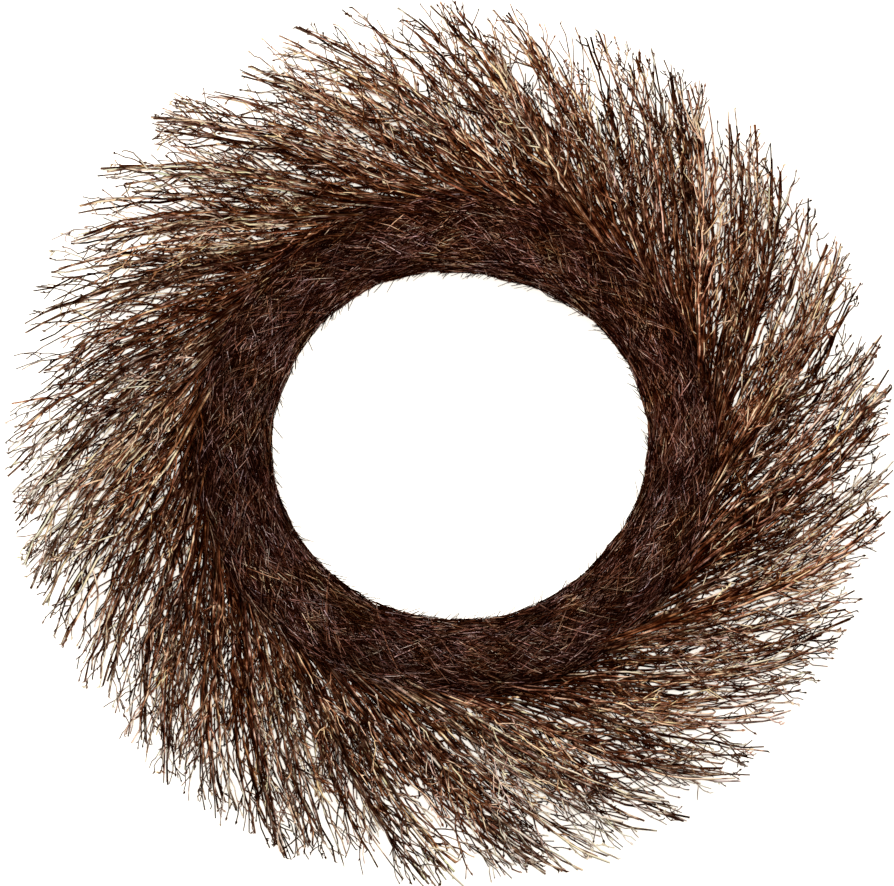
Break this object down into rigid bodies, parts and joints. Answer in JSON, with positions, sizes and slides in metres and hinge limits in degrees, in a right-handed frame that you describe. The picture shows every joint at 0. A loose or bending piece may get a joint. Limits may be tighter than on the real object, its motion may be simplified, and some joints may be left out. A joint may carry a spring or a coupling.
{
  "type": "twig wreath",
  "caption": "Round wreath of fine cut twigs: sheaves of stems and slanting sprays tied to a wire hoop, with a dense band round an oval hole and a fanned fringe.",
  "frame": {"origin": "middle of the footprint, on the surface that the back lies on", "axes": "+Z out of the wreath's front face, +Y up as it hangs, +X to the right seen from the front"},
  "size_m": [0.6068, 0.6082, 0.089],
  "materials": {
    "twig_dark": "matt bark, dark umber brown",
    "twig_red": "matt bark, reddish brown",
    "hoop_steel": "dull drawn steel wire",
    "binding_wire": "thin brown lacquer"
  },
  "bodies": {
    "root": {"hoop": "hoop_steel", "binding_wire": "binding_wire", "sheaf_01": "twig_dark", "sheaf_02": "twig_dark", "sheaf_03": "twig_dark", "sheaf_04": "twig_dark", "sheaf_05": "twig_dark", "sheaf_06": "twig_dark", "sheaf_07": "twig_dark", "sheaf_08": "twig_dark", "sheaf_09": "twig_dark", "sheaf_10": "twig_dark", "sheaf_11": "twig_dark", "sheaf_12": "twig_dark", "sheaf_13": "twig_dark", "sheaf_14": "twig_dark", "sheaf_15": "twig_dark", "sheaf_16": "twig_dark", "sheaf_17": "twig_dark", "sheaf_18": "twig_dark", "sheaf_19": "twig_dark", "sheaf_20": "twig_dark", "spray_01": "twig_red", "spray_02": "twig_red", "spray_03": "twig_red", "spray_04": "twig_red", "spray_05": "twig_red", "spray_06": "twig_red", "spray_07": "twig_red", "spray_08": "twig_red", "spray_09": "twig_red", "spray_10": "twig_red", "spray_11": "twig_red", "spray_12": "twig_red", "spray_13": "twig_red", "spray_14": "twig_red", "spray_15": "twig_red", "spray_16": "twig_red", "spray_17": "twig_red", "spray_18": "twig_red", "spray_19": "twig_red", "spray_20": "twig_red"}
  },
  "joints": []
}
